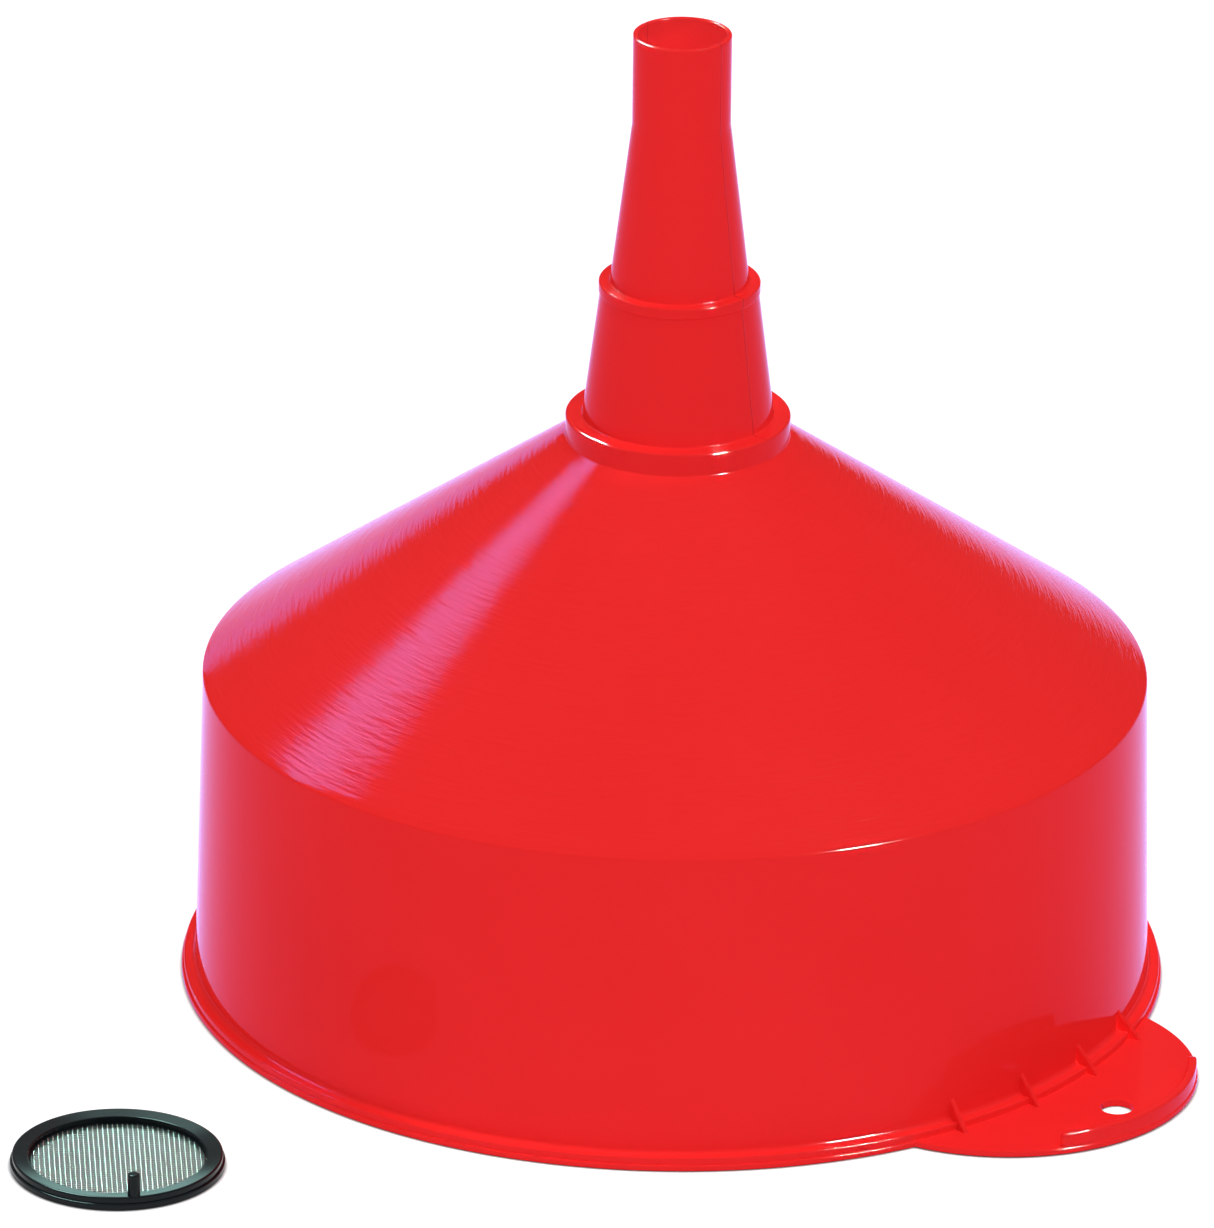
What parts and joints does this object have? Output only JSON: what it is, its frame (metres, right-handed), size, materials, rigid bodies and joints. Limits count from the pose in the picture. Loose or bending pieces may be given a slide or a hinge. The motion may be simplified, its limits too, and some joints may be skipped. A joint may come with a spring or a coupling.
{
  "type": "funnel with strainer",
  "caption": "Round filling funnel standing mouth down, with an upright wall, a cone, a stepped spout and a hanging lug, beside its loose wire-mesh strainer.",
  "frame": {"origin": "on the funnel's axis in the plane of the rim, which is the surface that it stands on", "axes": "+Z along the funnel's axis from the rim towards the tip of the spout; +X and +Y level, with the hanging lug 38.4 degrees from +X towards -Y"},
  "size_m": [0.2839, 0.2648, 0.2433],
  "materials": {
    "funnel_body": "smooth moulded polyethylene, softly glossy, with fine turning marks of the mould round the cone",
    "strainer_frame": "smooth black moulding",
    "strainer_wire": "bright drawn stainless wire"
  },
  "bodies": {
    "funnel": {"funnel_body": "funnel_body"},
    "strainer": {"strainer_frame": "strainer_frame", "warp_wires": "strainer_wire", "weft_wires": "strainer_wire"}
  },
  "joints": [
    {"name": "strainer_lift", "type": "hinge", "parent": "funnel", "child": "strainer", "pos_m": [-0.06575, -0.05962, 0.0721], "axis": [0.6717, -0.7408, 0], "range_deg": [0, 180]}
  ]
}
